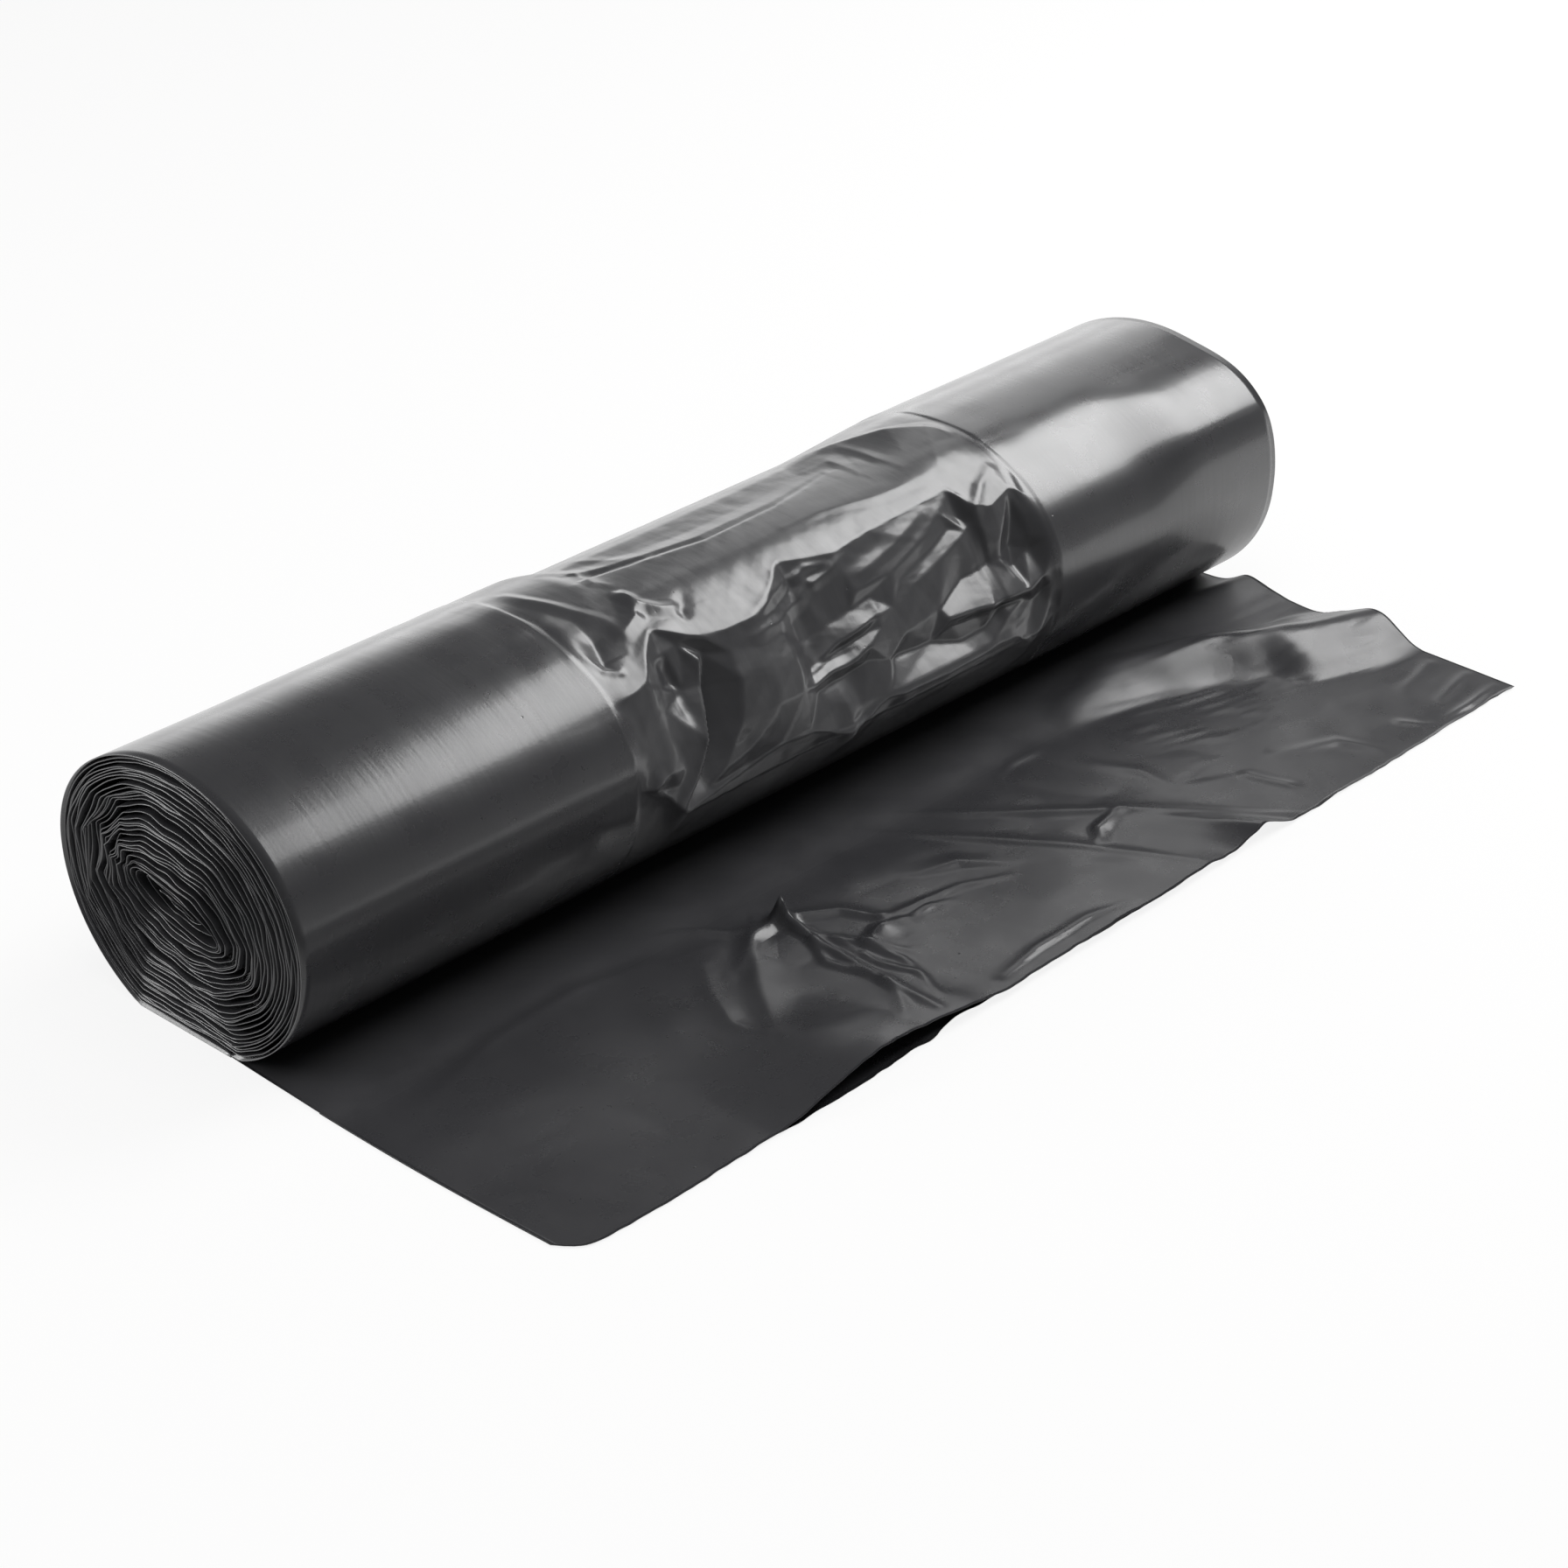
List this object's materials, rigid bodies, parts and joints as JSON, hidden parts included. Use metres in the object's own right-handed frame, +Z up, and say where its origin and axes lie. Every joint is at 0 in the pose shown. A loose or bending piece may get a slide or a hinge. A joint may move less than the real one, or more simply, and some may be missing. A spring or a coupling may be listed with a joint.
{
  "type": "bin bag roll",
  "caption": "Coreless roll of dark, side-gusseted plastic bin bags, sagged on its side, with the mouth end of the first bag unrolled flat in front.",
  "frame": {"origin": "middle of the flat spot that the roll rests on, at mid-length", "axes": "+X along the roll to its more loosely wound end, -Y towards the free sheet, +Z up"},
  "size_m": [0.461, 0.2207, 0.0916],
  "materials": {
    "film": "glossy, lightly creased"
  },
  "bodies": {
    "root": {"bag_roll": "film"}
  },
  "joints": []
}
